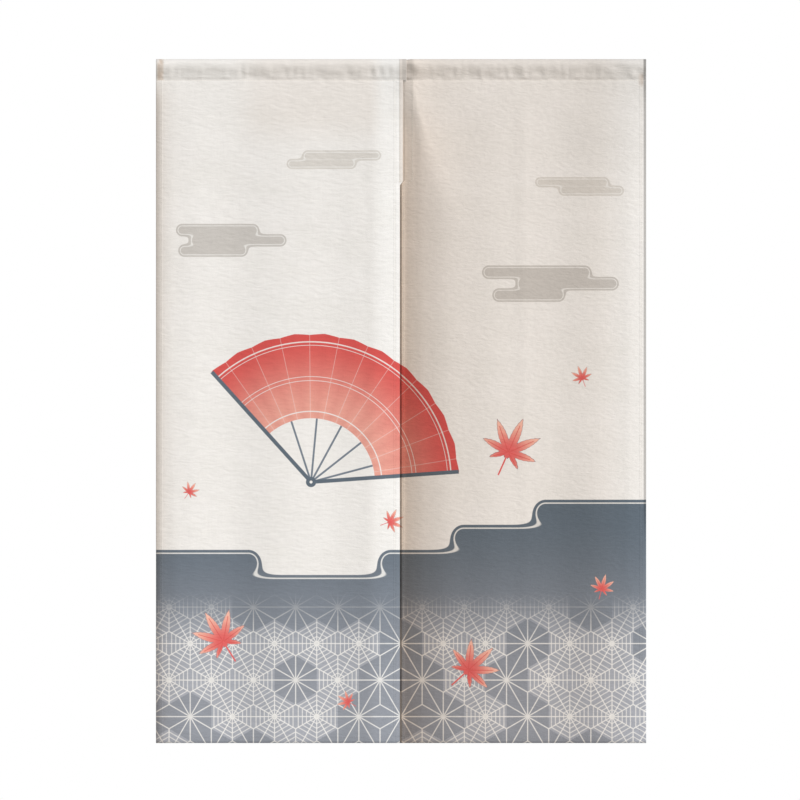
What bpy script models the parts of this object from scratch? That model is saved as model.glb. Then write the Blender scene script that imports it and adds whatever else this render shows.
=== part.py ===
"""A two-panel doorway curtain that hangs from a rod pocket along its top edge.

The model is in metres with +Z up. +X is the viewer's right and the front faces -Y. The
origin is the middle of the top edge. Sizes in this file are in millimetres, and MM turns
them into metres where a mesh is made. A "drop" is a distance below the top edge.
"""

import math

import bmesh
import bpy
from mathutils import Vector

MM = 0.001

# Driving sizes
WIDTH = 860.0
DROP = 1200.0
HEADING = 38.0
SEWN_TO = 216.0
CLOTH = 1.5
HEM = 2.4
SIDE_HEM = 10.0
BOTTOM_HEM = 12.0
HEM_RAMP = 1.5
SPACE = 0.3

# The rod pocket, a flattened sleeve that tapers to its line of stitches
POCKET_RADIUS = 9.0
POCKET_BACK_SHARE = 0.85
POCKET_CLOTH = 1.3
POCKET_TIP = 1.3
POCKET_SEAM_HEIGHT = 4.0
POCKET_INNER_TIP = 0.35
POCKET_ARC_STEPS = 5
POCKET_TAPER_STEPS = 4
STATION_SPACING = 19.0
LEAST_STATION_SPACING = 3.5
LEFT_SLEEVE_END = 9.6
RIGHT_SLEEVE_PINCH = 1.4
RIGHT_SLEEVE_PINCH_REACH = 18.0

# Broad forms of the cloth
HALF_WIDTH = WIDTH / 2
LEFT_VALLEY_REACH = 28.0
RIGHT_VALLEY_NEAR = 18.0
RIGHT_VALLEY_FAR = 60.0
RIGHT_NEAR_SHARE = 0.4
TUCK_SPAN = 5.0
SIDE_CURL = 4.0
SIDE_CURL_REACH = 13.0
SIDE_CURL_AT_TOP = 0.3
FOLDS_START_OVER = 75.0
KICK = 1.6
KICK_HEIGHT = 60.0

# Finish
NORMAL_STEP = 0.5
SHARP_FROM_DEGREES = 50
CLOTH_COLOUR = (0.832, 0.799, 0.752, 1.0)
HEADING_COLOUR = (0.791, 0.752, 0.700, 1.0)
CLOTH_ROUGHNESS = 0.92

# How the two slit edges hang. Down to SEWN_TO the left edge laps over the right one. Below
# it the right edge bends back behind the left one, and the slit shows as a narrow shadow.
# drop, left edge's x, right edge's x, x where the right panel bends, how far back the left
# edge and that bend lie, and how much further back the right edge goes
SLIT_EDGES = (
    (HEADING + SPACE, 3.2, -4.0, 3.6, 0.3, 3.4, -0.2),
    (75.0, 3.2, -4.0, 3.6, 4.2, 7.4, -0.9),
    (120.0, 3.2, -4.0, 3.6, 7.0, 10.2, -1.3),
    (SEWN_TO - 2.0, 3.2, -4.0, 3.6, 8.0, 11.2, -1.4),
    (SEWN_TO + 10.0, -2.1, -5.0, 1.4, 7.4, 12.2, 4.0),
    (290.0, -2.1, -5.0, 1.4, 6.0, 14.0, 6.5),
    (700.0, -2.1, -5.0, 1.4, 6.6, 15.6, 6.5),
    (1000.0, -2.1, -5.0, 1.4, 5.0, 14.2, 6.5),
    (DROP, -2.1, -5.0, 1.4, 5.6, 13.0, 6.0),
)
LEFT_EDGE_X, RIGHT_EDGE_X, RIGHT_BEND_X, LEFT_BACK, RIGHT_BACK, RIGHT_TUCK = range(1, 7)

# Soft upright folds: x at the top, half width, how far forward at the top and at the
# bottom, and how far it drifts to the right on the way down
FOLDS = {
    "left": (
        (-50.0, 16.0, 1.0, 1.6, -4.0),
        (-118.0, 34.0, -0.6, -1.8, 6.0),
        (-205.0, 48.0, 0.8, 2.6, -10.0),
        (-300.0, 40.0, -0.8, -2.2, 12.0),
        (-372.0, 30.0, 0.6, 1.8, -6.0),
    ),
    "right": (
        (96.0, 30.0, -0.6, -1.4, 8.0),
        (165.0, 40.0, 0.8, 2.4, -8.0),
        (214.0, 12.0, 0.8, 0.3, 4.0),
        (268.0, 38.0, -0.9, -2.4, 10.0),
        (350.0, 36.0, 1.0, 2.0, -6.0),
    ),
}

# Puckers in the front of the pocket: x, half width, depth, drop and half height
PUCKERS = {
    "left": (
        (-37.0, 4.5, 1.5, 21.0, 8.0),
        (-53.0, 6.0, 1.8, 22.0, 9.0),
        (-93.0, 7.0, 1.3, 24.0, 9.0),
        (-152.0, 15.0, 0.8, 22.0, 10.0),
        (-262.0, 20.0, 0.9, 24.0, 10.0),
    ),
    "right": (
        (18.0, 9.0, 1.8, 22.0, 10.0),
        (70.0, 20.0, 1.1, 22.0, 10.0),
        (122.0, 15.0, 0.9, 24.0, 9.0),
        (197.0, 8.0, 1.2, 20.0, 9.0),
        (214.0, 4.0, -0.7, 22.0, 12.0),
        (239.0, 10.0, 1.1, 22.0, 9.0),
        (330.0, 18.0, 1.1, 20.0, 10.0),
        (385.0, 10.0, 1.2, 24.0, 9.0),
    ),
}

# How far +X the front layer's end is drawn at each mouth, with the drop and half height
MOUTHS = {
    "left": (7.0, 24.0, 9.0),
    "right": (-4.0, 29.0, 6.0),
}

# Steps of the panel's grid, from the slit edge outwards and from the heading down
ACROSS = (
    (SIDE_HEM, 3),
    (SIDE_HEM + HEM_RAMP, 1),
    (60.0, 6),
    (360.0, 10),
    (HALF_WIDTH - SIDE_HEM - HEM_RAMP, 4),
    (HALF_WIDTH - SIDE_HEM, 1),
    (HALF_WIDTH, 2),
)
DOWN = (
    (95.0, 4),
    (SEWN_TO - 10.0, 4),
    (SEWN_TO + 12.0, 6),
    (270.0, 2),
    (DROP - BOTTOM_HEM - HEM_RAMP, 13),
    (DROP - BOTTOM_HEM, 1),
    (DROP, 1),
)


def smooth(share):
    """Eases 0 to 1, and holds beyond them."""
    share = min(max(share, 0.0), 1.0)
    return share * share * (3 - 2 * share)


def bump(distance, half_width):
    return math.exp(-((distance / half_width) ** 2))


def slit(drop, column):
    """Reads one column of SLIT_EDGES at any drop."""
    for above, below in zip(SLIT_EDGES, SLIT_EDGES[1:]):
        if drop <= below[0]:
            share = smooth((drop - above[0]) / (below[0] - above[0]))
            return above[column] + share * (below[column] - above[column])
    return SLIT_EDGES[-1][column]


def valley(side, x, drop):
    """How far back the cloth lies because its slit edge does."""
    if side == "left":
        off = max(slit(drop, LEFT_EDGE_X) - x, 0.0)
        return slit(drop, LEFT_BACK) * math.exp(-off / LEFT_VALLEY_REACH)
    bend_x = slit(drop, RIGHT_BEND_X)
    off = max(x - bend_x, 0.0)
    near = RIGHT_NEAR_SHARE * math.exp(-off / RIGHT_VALLEY_NEAR)
    far = (1 - RIGHT_NEAR_SHARE) * math.exp(-off / RIGHT_VALLEY_FAR)
    tuck = slit(drop, RIGHT_TUCK) * smooth((bend_x - x) / TUCK_SPAN)
    return slit(drop, RIGHT_BACK) * (near + far) + tuck


def back(side, x, drop):
    """How far behind the rod's plane the middle of the cloth lies."""
    started = smooth((drop - HEADING) / FOLDS_START_OVER)
    down = (drop - HEADING) / (DROP - HEADING)
    depth = valley(side, x, drop)
    for fold_x, half_width, top, bottom, drift in FOLDS[side]:
        forward = top + (bottom - top) * down
        depth -= started * forward * bump(x - fold_x - drift * down, half_width)
    from_side = max(HALF_WIDTH - abs(x), 0.0)
    curl = SIDE_CURL * (SIDE_CURL_AT_TOP + (1 - SIDE_CURL_AT_TOP) * started)
    depth += curl * math.exp(-from_side / SIDE_CURL_REACH)
    low = max(drop - (DROP - KICK_HEIGHT), 0.0) / KICK_HEIGHT
    return depth - KICK * low * low


def surface(side, off, drop):
    """The middle of a panel's cloth, at a distance off its slit edge."""
    if side == "left":
        edge, outer = slit(drop, LEFT_EDGE_X), -HALF_WIDTH
    else:
        edge, outer = slit(drop, RIGHT_EDGE_X), HALF_WIDTH
    x = edge + (outer - edge) * off / HALF_WIDTH
    return Vector((x, back(side, x, drop), -drop))


def surface_normal(side, off, drop):
    """Points to the front."""
    along = surface(side, min(off + NORMAL_STEP, HALF_WIDTH), drop)
    along -= surface(side, max(off - NORMAL_STEP, 0.0), drop)
    down = surface(side, off, min(drop + NORMAL_STEP, DROP))
    down -= surface(side, off, drop - NORMAL_STEP)
    normal = along.cross(down).normalized()
    return normal if normal.y < 0 else -normal


def half_thickness(off, drop):
    """Half the cloth's thickness, which is greater in the hems."""
    into_hem = max(
        (SIDE_HEM + HEM_RAMP - off) / HEM_RAMP,
        (off - (HALF_WIDTH - SIDE_HEM - HEM_RAMP)) / HEM_RAMP,
        (drop - (DROP - BOTTOM_HEM - HEM_RAMP)) / HEM_RAMP,
    )
    return (CLOTH + (HEM - CLOTH) * min(max(into_hem, 0.0), 1.0)) / 2


def stops(start, runs):
    """The values from start that a table of (reach, steps) asks for."""
    values = [start]
    for reach, steps in runs:
        begin = values[-1]
        values += [begin + (reach - begin) * (k + 1) / steps for k in range(steps)]
    return values


def finished_object(name, mesh_name, edit, colour):
    """Makes the object of an edited mesh, with faces out, smooth shading and its material."""
    bmesh.ops.recalc_face_normals(edit, faces=edit.faces)
    mesh = bpy.data.meshes.new(mesh_name)
    edit.to_mesh(mesh)
    edit.free()
    mesh.shade_smooth()
    mesh.set_sharp_from_angle(angle=math.radians(SHARP_FROM_DEGREES))
    mesh.materials.append(cloth_material(name + "_cloth", colour))
    made = bpy.data.objects.new(name, mesh)
    bpy.context.scene.collection.objects.link(made)
    return made


def cloth_material(name, colour):
    material = bpy.data.materials.new(name)
    material.use_nodes = True
    shader = material.node_tree.nodes["Principled BSDF"]
    shader.inputs["Base Color"].default_value = colour
    shader.inputs["Roughness"].default_value = CLOTH_ROUGHNESS
    shader.inputs["Metallic"].default_value = 0.0
    return material


def strip(edit, one, two, closed=False):
    """Joins two rows of vertices with faces."""
    count = len(one)
    for k in range(count if closed else count - 1):
        after = (k + 1) % count
        edit.faces.new((one[k], one[after], two[after], two[k]))


def panel(side):
    """One length of cloth, as a closed sheet with thicker hems."""
    edit = bmesh.new()
    offs = stops(0.0, ACROSS)
    drops = stops(HEADING + SPACE, DOWN)
    front, rear = [], []
    for drop in drops:
        front.append([])
        rear.append([])
        for off in offs:
            middle = surface(side, off, drop)
            out = surface_normal(side, off, drop) * half_thickness(off, drop)
            out.z = 0.0  # keeps each row of the grid level
            front[-1].append(edit.verts.new((middle + out) * MM))
            rear[-1].append(edit.verts.new((middle - out) * MM))
    for upper, lower in zip(front, front[1:]):
        strip(edit, upper, lower)
    for upper, lower in zip(rear, rear[1:]):
        strip(edit, upper, lower)
    strip(edit, front[0], rear[0])
    strip(edit, front[-1], rear[-1])
    strip(edit, [row[0] for row in front], [row[0] for row in rear])
    strip(edit, [row[-1] for row in front], [row[-1] for row in rear])
    return finished_object("panel_" + side, "panel_" + side, edit, CLOTH_COLOUR)


def pocket_side(radius, top, bottom, tip):
    """(half depth, drop) of points from the top of the sleeve down to its tip."""
    points = []
    for k in range(POCKET_ARC_STEPS + 1):
        angle = math.pi / 2 * k / POCKET_ARC_STEPS
        points.append((radius * math.sin(angle), top + radius * (1 - math.cos(angle))))
    for k in range(1, POCKET_TAPER_STEPS + 1):
        share = k / POCKET_TAPER_STEPS
        half = tip + (radius - tip) * (0.5 + 0.5 * math.cos(math.pi * share))
        points.append((half, top + radius + (bottom - top - radius) * share))
    return points


def sleeve_inset(side, x):
    """The right sleeve is drawn in where it meets the left one's end."""
    if side == "left":
        return 0.0
    beyond = (x - LEFT_SLEEVE_END) / RIGHT_SLEEVE_PINCH_REACH
    return RIGHT_SLEEVE_PINCH * (1 - smooth(beyond))


def drawn_in(side, x, drop):
    """How far along +X the front layer moves where it ends at the pocket's open mouth."""
    reach, mouth_drop, half_height = MOUTHS[side]
    return reach * bump(drop - mouth_drop, half_height) if abs(x) == HALF_WIDTH else 0.0


def sleeve_rings(side, x):
    """The outer and inner rings of the sleeve at x, each a list of points."""
    top = sleeve_inset(side, x)
    radius = POCKET_RADIUS - top
    foot = back(side, x, HEADING)
    outer = pocket_side(radius, top, HEADING, POCKET_TIP)
    inner = pocket_side(
        radius - POCKET_CLOTH,
        top + POCKET_CLOTH,
        HEADING - POCKET_SEAM_HEIGHT,
        POCKET_INNER_TIP,
    )
    rings = []
    for outline in (outer, inner):
        front, rear = [], []
        for half, drop in outline:
            lean = foot * smooth((drop - POCKET_RADIUS) / (HEADING - POCKET_RADIUS))
            y = lean - half
            for pucker_x, half_width, depth, pucker_drop, half_height in PUCKERS[side]:
                y += depth * bump(x - pucker_x, half_width) * bump(drop - pucker_drop, half_height)
            front.append(Vector((x + drawn_in(side, x, drop), y, -drop)))
            rear.append(Vector((x, lean + half * POCKET_BACK_SHARE, -drop)))
        rings.append(front + rear[:0:-1])
    return rings


def stations(side):
    """The places along a sleeve where it gets a ring, closer together at the puckers."""
    if side == "left":
        start, end = -HALF_WIDTH, LEFT_SLEEVE_END
    else:
        start, end = LEFT_SLEEVE_END + SPACE, HALF_WIDTH
    count = round((end - start) / STATION_SPACING)
    wanted = []
    for pucker_x, half_width, *_ in PUCKERS[side]:
        wanted += [pucker_x - half_width, pucker_x, pucker_x + half_width]
    wanted += [start + (end - start) * k / count for k in range(1, count)]
    kept = [start, end]
    for x in wanted:
        if start < x < end and min(abs(x - other) for other in kept) > LEAST_STATION_SPACING:
            kept.append(x)
    return sorted(kept)


def heading(side):
    """Half of the rod pocket: a sleeve of cloth, open at both ends."""
    edit = bmesh.new()
    outer, inner = [], []
    for x in stations(side):
        for rings, ring in zip((outer, inner), sleeve_rings(side, x)):
            rings.append([edit.verts.new(point * MM) for point in ring])
    for rings in (outer, inner):
        for one, two in zip(rings, rings[1:]):
            strip(edit, one, two, closed=True)
    strip(edit, outer[0], inner[0], closed=True)
    strip(edit, outer[-1], inner[-1], closed=True)
    return finished_object("heading_" + side, "heading_" + side, edit, HEADING_COLOUR)


def main():
    for old in list(bpy.data.objects):
        bpy.data.objects.remove(old)
    for side in ("left", "right"):
        panel(side)
        heading(side)


main()
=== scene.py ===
"""Dresses a two-panel doorway curtain: thin hemmed cloth, its rod pocket, stitches and print.

Sizes are in millimetres, and MM turns them into metres where a mesh is made. +X is the
viewer's right, the front faces -Y and +Z is up. A "drop" is a distance below the top edge,
and "off" is a distance from a panel's slit edge. The broad folds are the part's own.
"""

import functools
import math

import bpy
import numpy as np
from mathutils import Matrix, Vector


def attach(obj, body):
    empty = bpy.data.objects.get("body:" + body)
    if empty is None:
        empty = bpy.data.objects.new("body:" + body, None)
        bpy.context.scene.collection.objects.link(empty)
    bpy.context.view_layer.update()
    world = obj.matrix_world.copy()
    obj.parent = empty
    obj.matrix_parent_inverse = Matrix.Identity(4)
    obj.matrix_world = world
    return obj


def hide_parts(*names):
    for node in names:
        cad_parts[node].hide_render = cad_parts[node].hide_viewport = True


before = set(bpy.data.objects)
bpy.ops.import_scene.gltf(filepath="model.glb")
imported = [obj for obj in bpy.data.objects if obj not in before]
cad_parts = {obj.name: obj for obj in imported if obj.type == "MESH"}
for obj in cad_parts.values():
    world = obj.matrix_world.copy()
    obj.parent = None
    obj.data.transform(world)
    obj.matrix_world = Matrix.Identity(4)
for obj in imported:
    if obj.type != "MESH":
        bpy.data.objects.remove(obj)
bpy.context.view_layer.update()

MM = 0.001

# Sizes shared with the part
WIDTH = 860
HALF_WIDTH = WIDTH / 2
DROP = 1200
HEADING = 38
SEWN_TO = 216
POCKET_RADIUS = 9
POCKET_BACK_SHARE = 0.85
LEFT_SLEEVE_END = 9.6
LEFT_VALLEY_REACH = 28
RIGHT_VALLEY_NEAR = 18
RIGHT_VALLEY_FAR = 60
RIGHT_NEAR_SHARE = 0.4
TUCK_SPAN = 5
SIDE_CURL = 4
SIDE_CURL_REACH = 13
SIDE_CURL_AT_TOP = 0.3
FOLDS_START_OVER = 75
KICK = 1.6
KICK_HEIGHT = 60

# drop, left edge's x, right edge's x, x where the right panel bends, how far back the left
# edge and that bend lie, and how much further back the right edge goes
SLIT_EDGES = (
    (HEADING + 0.3, 3.2, -4, 3.6, 0.3, 3.4, -0.2),
    (75, 3.2, -4, 3.6, 4.2, 7.4, -0.9),
    (120, 3.2, -4, 3.6, 7, 10.2, -1.3),
    (SEWN_TO - 2, 3.2, -4, 3.6, 8, 11.2, -1.4),
    (SEWN_TO + 6, -2.1, -5, 1.4, 7.4, 12.2, 4),
    (290, -2.1, -5, 1.4, 6, 14, 6.5),
    (700, -2.1, -5, 1.4, 6.6, 15.6, 6.5),
    (1000, -2.1, -5, 1.4, 5, 14.2, 6.5),
    (DROP, -2.1, -5, 1.4, 5.6, 13, 6),
)
LEFT_EDGE_X, RIGHT_EDGE_X, RIGHT_BEND_X, LEFT_BACK, RIGHT_BACK, RIGHT_TUCK = range(1, 7)

# x at the top, half width, how far forward at the top and at the bottom, drift to the right
FOLDS = {
    "left": (
        (-50, 16, 1, 1.6, -4),
        (-118, 34, -0.6, -1.8, 6),
        (-205, 48, 0.8, 2.6, -10),
        (-300, 40, -0.8, -2.2, 12),
        (-372, 30, 0.6, 1.8, -6),
    ),
    "right": (
        (96, 30, -0.6, -1.4, 8),
        (165, 40, 0.8, 2.4, -8),
        (214, 12, 0.8, 0.3, 4),
        (268, 38, -0.9, -2.4, 10),
        (350, 36, 1, 2, -6),
    ),
}

# Puckers in the front of the pocket: x, half width, depth, drop and half height
PUCKERS = {
    "left": (
        (-37, 4.5, 1.5, 21, 8),
        (-53, 6, 1.8, 22, 9),
        (-93, 7, 1.3, 24, 9),
        (-152, 15, 0.8, 22, 10),
        (-262, 20, 0.9, 24, 10),
        (-395, 7, 0.9, 20, 7),
        (-421, 2.4, 1.5, 5, 3),
        (-417.5, 2.2, 1.5, 26, 3),
        (-419, 2.2, 1.2, 34, 2),
    ),
    "right": (
        (17, 9.5, 2.6, 21, 11),
        (70, 20, 1.1, 22, 10),
        (122, 15, 0.9, 24, 9),
        (197, 8, 1.2, 20, 9),
        (214, 4, -0.7, 22, 12),
        (239, 10, 1.1, 22, 9),
        (330, 18, 1.1, 20, 10),
        (378, 16, 1.4, 14, 6),
        (407, 8, -2, 26, 8),
        (423, 3.5, 1.4, 31, 5),
    ),
}

# How far +X the pocket's front layer is drawn at each mouth, with the drop and half height,
# and how far back its end curls
MOUTHS = {
    "left": (0.3, 24, 9, 0.2),
    "right": (-0.8, 29, 6, 0.8),
}
MOUTH_CURL_REACH = 6
MOUTH_CURL_FULL = 8
MOUTH_REACH = 24

# The cloth and its hems, which the solids hold as thicker sheets. Distances are from the
# middle of the solid's sheet to the front and to the back.
CLOTH_FRONT = 0.75
CLOTH_REAR = 0.05
HEM_FRONT = 1
HEM_REAR = 1.15
HEM_STEP = 0.5
SIDE_HEM = 10.4
SIDE_STITCH = 8.8
BOTTOM_HEM = 12
BOTTOM_STITCH = 10.4
SEAM_STITCH = 6
POCKET_STITCH = 37.2
POCKET_LIP = 39.9
POCKET_CLOTH = 0.8
POCKET_HEM_CLOTH = 1.9
POCKET_BLEND = 6
POCKET_TIP = 1.3

# Unevenness of the pocket: step across, step down, seed, drop where it is full, and height
GATHERS = (7, 26, 31, 20, 0.4)
CRUMPLE = (22, 11, 32, 8, 0.6)
REAR_CRUMPLE = (12, 20, 33, 12, 0.25)

# The right sleeve's end goes inside the left one's
RIGHT_SLEEVE_START = 5
RIGHT_SLEEVE_PINCH = 0.95
RIGHT_SLEEVE_PINCH_REACH = 8
RIGHT_SLEEVE_LEAN_REACH = 12

# Where the hem of each slit edge is stitched: off the edge, in the sewn part and below it
SLIT_HEM_STITCH = {"left": (13.8, 8.8), "right": (24, 8.8)}
SLIT_HEM_NARROWS_AT = SEWN_TO - 6
SLIT_HEM_NARROWS_OVER = 18
STRETCH_ENDS_OVER = (14, 60)

# Soft wrinkles in the whole cloth: step across, step down, height and seed
WRINKLES = (
    (120, 70, 0.50, 11),
    (52, 20, 0.16, 12),
    (30, 9, 0.10, 13),
)
NOISE_CELLS = 256

# Short pulls below the pocket's stitches: step across, step down and seed
PULLS = (9, 40, 21)
PULLS_REACH = 16
PULLS_HEIGHT = 0.35

# Main creases: x, drop, half length, half width, height to the front, turn from level
CREASES = {
    "left": (
        (-59, 420, 330, 11, -0.55, 90),
        (-58, 265, 26, 7, -0.45, 84),
        (-404, 300, 230, 9, 0.5, 91),
        (-398, 820, 260, 10, 0.6, 89),
        (-250, 470, 120, 22, 0.35, 12),
        (-150, 300, 90, 16, -0.3, -9),
        (-330, 700, 110, 20, 0.35, 18),
        (-180, 990, 130, 24, -0.35, 8),
        (-90, 640, 70, 12, 0.25, 28),
    ),
    "right": (
        (398, 640, 420, 9, 0.55, 90),
        (120, 330, 110, 20, 0.3, -14),
        (230, 500, 120, 22, -0.35, 10),
        (330, 280, 90, 15, 0.3, -8),
        (150, 860, 130, 24, 0.35, -12),
        (300, 980, 120, 22, -0.3, 9),
        (70, 700, 60, 12, -0.25, -30),
    ),
}

# The crisp fold beside each slit edge: drop, x and height to the front, then how far it
# reaches towards the slit and away from it
SLIT_FOLDS = {
    "left": ((38, -32, 0.2), (110, -31, 0.5), (700, -30, 0.6), (DROP, -31, 0.5)),
    "right": (
        (38, 20, 1.2),
        (80, 21, 1.8),
        (98, 25, 1.9),
        (124, 29, 1.9),
        (148, 33.5, 1.8),
        (240, 35, 1.2),
        (DROP, 36, 1.1),
    ),
}
FOLD_REACH = {"left": (14, 20), "right": (14, 24)}
FOLD_ROUND = 1.2
CREASES_START_OVER = 30

# Steps of a panel's grid, from the slit edge outwards and from the pocket down
EDGE_ROUND = 1.1
COLUMNS = (
    (2.4, 1),
    (SEAM_STITCH, 4),
    (SIDE_STITCH, 3),
    (SIDE_HEM, 2),
    (SIDE_HEM + HEM_STEP, 1),
    (14, 2),
    (60, 10),
    (372, 60),
    (414, 8),
    (HALF_WIDTH - SIDE_HEM - HEM_STEP, 2),
    (HALF_WIDTH - SIDE_HEM, 1),
    (HALF_WIDTH - SIDE_STITCH, 2),
    (HALF_WIDTH - 6.4, 3),
    (HALF_WIDTH - EDGE_ROUND, 3),
)
ROWS = (
    (44, 4),
    (1180, 410),
    (DROP - BOTTOM_HEM - HEM_STEP, 3),
    (DROP - BOTTOM_HEM, 1),
    (DROP - BOTTOM_STITCH, 1),
    (DROP - EDGE_ROUND, 5),
)
ARC_DEGREES = (60, 30, 0, -30, -60)
CLOSING_DEGREES = (35, 65, 85)

# Steps of the pocket, along it and round half of it
POCKET_SPACING = 2.6
POCKET_ARC_STEPS = 14
POCKET_TAPER_STEPS = 22

# Stitches
STITCH_PITCH = 3.3
STITCH_LENGTH = 2.5
THREAD_RADIUS = 0.26
THREAD_SIDES = 6
THREAD_OUTLINE = ((-1, 0.25), (-0.6, 1), (0.6, 1), (1, 0.25))
THREAD_SUNK = 0.06
THREAD_BOW = 0.6
GROOVE_DEPTH = 0.30
GROOVE_HALF_WIDTH = 1.3
POCKET_GROOVE = 1.6
TACK_STITCHES = 9
TACK_LEAN = 0.45
TACK_SPAN = (0.8, 6.4)
TACK_UP = 0.6
# Where the rows start and how far they stay from the panel's ends
DOWN_FROM = POCKET_STITCH + 5
ACROSS_FROM = 3
ROWS_END_BEFORE = 2
POCKET_ROW_FROM = {"left": 1, "right": 14.5}
POCKET_ROW_ENDS_BEFORE = 1
POCKET_ROW_DROPS = (POCKET_STITCH + 0.1, POCKET_STITCH + 0.4)
SEAM_ROW = {"left": SEAM_STITCH, "right": SEAM_STITCH - 1}
POCKET_ROW_BACK = 0.9

# Camera and light
MM_PER_PIXEL = 1.7544
PICTURE_PIXELS = 800
PICTURE_MIDDLE = (-1.9, -598.1)
CAMERA_AWAY = 3000
FLOOR_Z = -1500
FLOOR_HALF = 6
FLOOR_COLOUR = "E6E4E0"
FLOOR_ROUGHNESS = 0.8
ROOM_COLOUR = (1, 0.995, 0.985, 1)
ROOM_STRENGTH = 0.235
# kind, name, place in metres, size (of the sun, an angle), power and colour
LIGHTS = (
    ("SUN", "key", (3.1, -2.75, 2.2), 0.42, 3.3, (1, 1, 1)),
    ("AREA", "rear", (0.6, 3.2, 0.6), 2.4, 30, (1, 0.98, 0.95)),
)

# How white each face is, and how much of the print shows on it
FRONT_WHITES = ("F1EFED", "E8E6E2")
# The right rear is warmer and darker: a mild painted warm shade like that on the front
REAR_WHITES = {"left": ("EEEBE7", "E6E2DC"), "right": ("EAE4DD", "E1DAD0")}
PRINT_ON_FRONT = 0.96
PRINT_ON_THREAD = 0.85
PRINT_ON_REAR = 0.30

# The cloth's weave and slubs: grain across and down, detail, roughness and seed
PATCHES = (95, 60, 2, 0.6, 3)
SWAY = (26, 18, 0, 0.5, 7)
SWAY_BY = 9
STREAKS = {"left": (18, 5.6, 2, 0.45, 9), "right": (11.5, 5.2, 2, 0.45, 9)}
SLUBS = (24, 0.7, 1, 0.5, 13)
WARPS = (4.2, 24, 1, 0.5, 17)
STREAK_TONE = 0.12
SLUB_TONE = 0.04
WARP_TONE = 0.05
STREAK_HEIGHT = 0.75
SLUB_HEIGHT = 0.07
THREAD_PITCH = 1.05
WEAVE_HEIGHT = 0.035
ROUGHNESS = 0.93
ROUGHNESS_UNEVEN = 0.12
SPECULAR = 0.25
SHEEN = 0.12
SHEEN_ROUGHNESS = 0.55
THREAD_COLOURS = ("D5CEC2", "E9E4DA")
THREAD_TWIST = 0.6
THREAD_ROUGHNESS = 0.7

# Painted shade: a warm shade multiplied in by the slit, over the right panel and at the left edge,
# and depths towards black on the pocket's roll, at the foot and hem and along both side edges.
WARM_SHADE = "FFEBDA"
WARM_REACH = 52
WARMER_OVER = (50, 170, 0.4, 1)
WARM_AT_SLIT = 0.70
WARM_EVERYWHERE = 0.30
WARM_STARTS_OVER = (-12, -3)
WARM_ENDS_OVER = (330, 425)
WARM_AT_EDGE = 0.35
WARM_AT_SIDE = 0.45
WARM_SIDE_REACH = 14
ROLL_SHADE = {"left": 0.05, "right": 0.08}
ROLL_OVER = (-4, 13)
FOOT_SHADE = 0.2
FOOT_OVER = (1.8, 5)
HEM_SHADE = 0.06
HEM_OVER = (10, 20)
# Painted shade along the left edge, weaker at the top, and along the right edge, weaker low down
LEFT_EDGE_SHADE = 0.21
LEFT_EDGE_SHADE_OVER = (-413, -427)
SIDE_AT_TOP = 0.4
SIDE_STARTS_OVER = (36, 80)
RIGHT_EDGE_SHADE = (0.53, 0.45)
RIGHT_EDGE_SHADE_TOP_OVER = (46, 80)
RIGHT_EDGE_SHADE_OVER = (424, 426.8)
RIGHT_EDGE_SHADE_LOW_DOWN = 0.1
RIGHT_EDGE_SHADE_ENDS_OVER = (770, 860)

# Painted shade where a panel is warmer and deeper: how much of each, then the ranges of x and of the
# drop that it eases in over, from a range's first number to its second. On the left: a warm cast
# except beside the slit, the middle and its top, the lapped strip and its edge. On the right: broad
# shade from the slit, the upper outer part, a shadow wedge in the pocket, the corner by the mouth.
TONES = {
    "left": (
        (0.07, 0, ((-25, -60),), ()),
        (0, 0.014, ((-310, -230), (-25, -60)), ()),
        (0.14, 0.036, ((-310, -230), (-25, -60)), ((170, 95),)),
        (0.34, 0.12, ((-3.4, -1.8),), ((218, 212),)),
        (0, 0.16, ((1, 3.2),), ((218, 212),)),
    ),
    "right": (
        (0, 0.10, ((0, 80), (470, 330)), ()),
        (0, 0.055, ((240, 360),), ((260, 130),)),
        (0, 0.17, ((31, 17),), ((3, 9), (40, 35))),
        (0.45, 0.24, ((413, 423), (426.5, 423.5)), ((20, 32), (52, 40))),
    ),
}

# Painted brown shade at the end of the pocket's left mouth, made uneven by noise
MOUTH_SHADE_WARMTH = 0.55
MOUTH_SHADE_DEPTH = 0.15
MOUTH_SHADE_UNEVEN = 1.2
MOUTH_SHADE_GRAIN = (5, 7)
MOUTH_ENDS_OVER = (-414.5, -420.5)
MOUTH_FOOT_OVER = (37.8, 36.6)
MOUTH_LIGHT_ENDS_OVER = (-427, -422)
MOUTH_WIDENS_OVER = (0, 10)
MOUTH_EDGE_OVER = (-428.8, -426)

# The painted highlight beside the right mouth: x, drop, half width and half height
LIT_PATCH = (406.5, 22.5, 9, 12)
LIT_ENDS_OVER = (0.3, 1)
LIT_BY = 0.09

# Painted shade in a band beside the slit: where it ends, how it fades and how deep it is
BAND_WIDTH = (17, 31)
BAND_WIDENS_OVER = (40, 130)
BAND_FADE = (8, 92)
BAND_SOFTENS_OVER = (85, 320)
BAND_START = 2
BAND_FULL = (5, 13)
BAND_STARTS_LATER_OVER = (36, 150)
BAND_DEPTH = 0.21

# Painted shadow: a dark line under the lap and in the slit, and painted shade in the seam's stitch
# groove, in the sewn part and below it
LAP_ENDS_OVER = (212, 218)
LAP_LINE = (5.4, 0.4)
LAP_LINE_HALF = (2.1, 1.6)
LAP_LINE_DEPTH = 0.36
SEAM_LINE = -3
SEAM_LINE_HALF = 0.7
SEAM_LINE_DEPTH = (0.20, 0.14)

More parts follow.
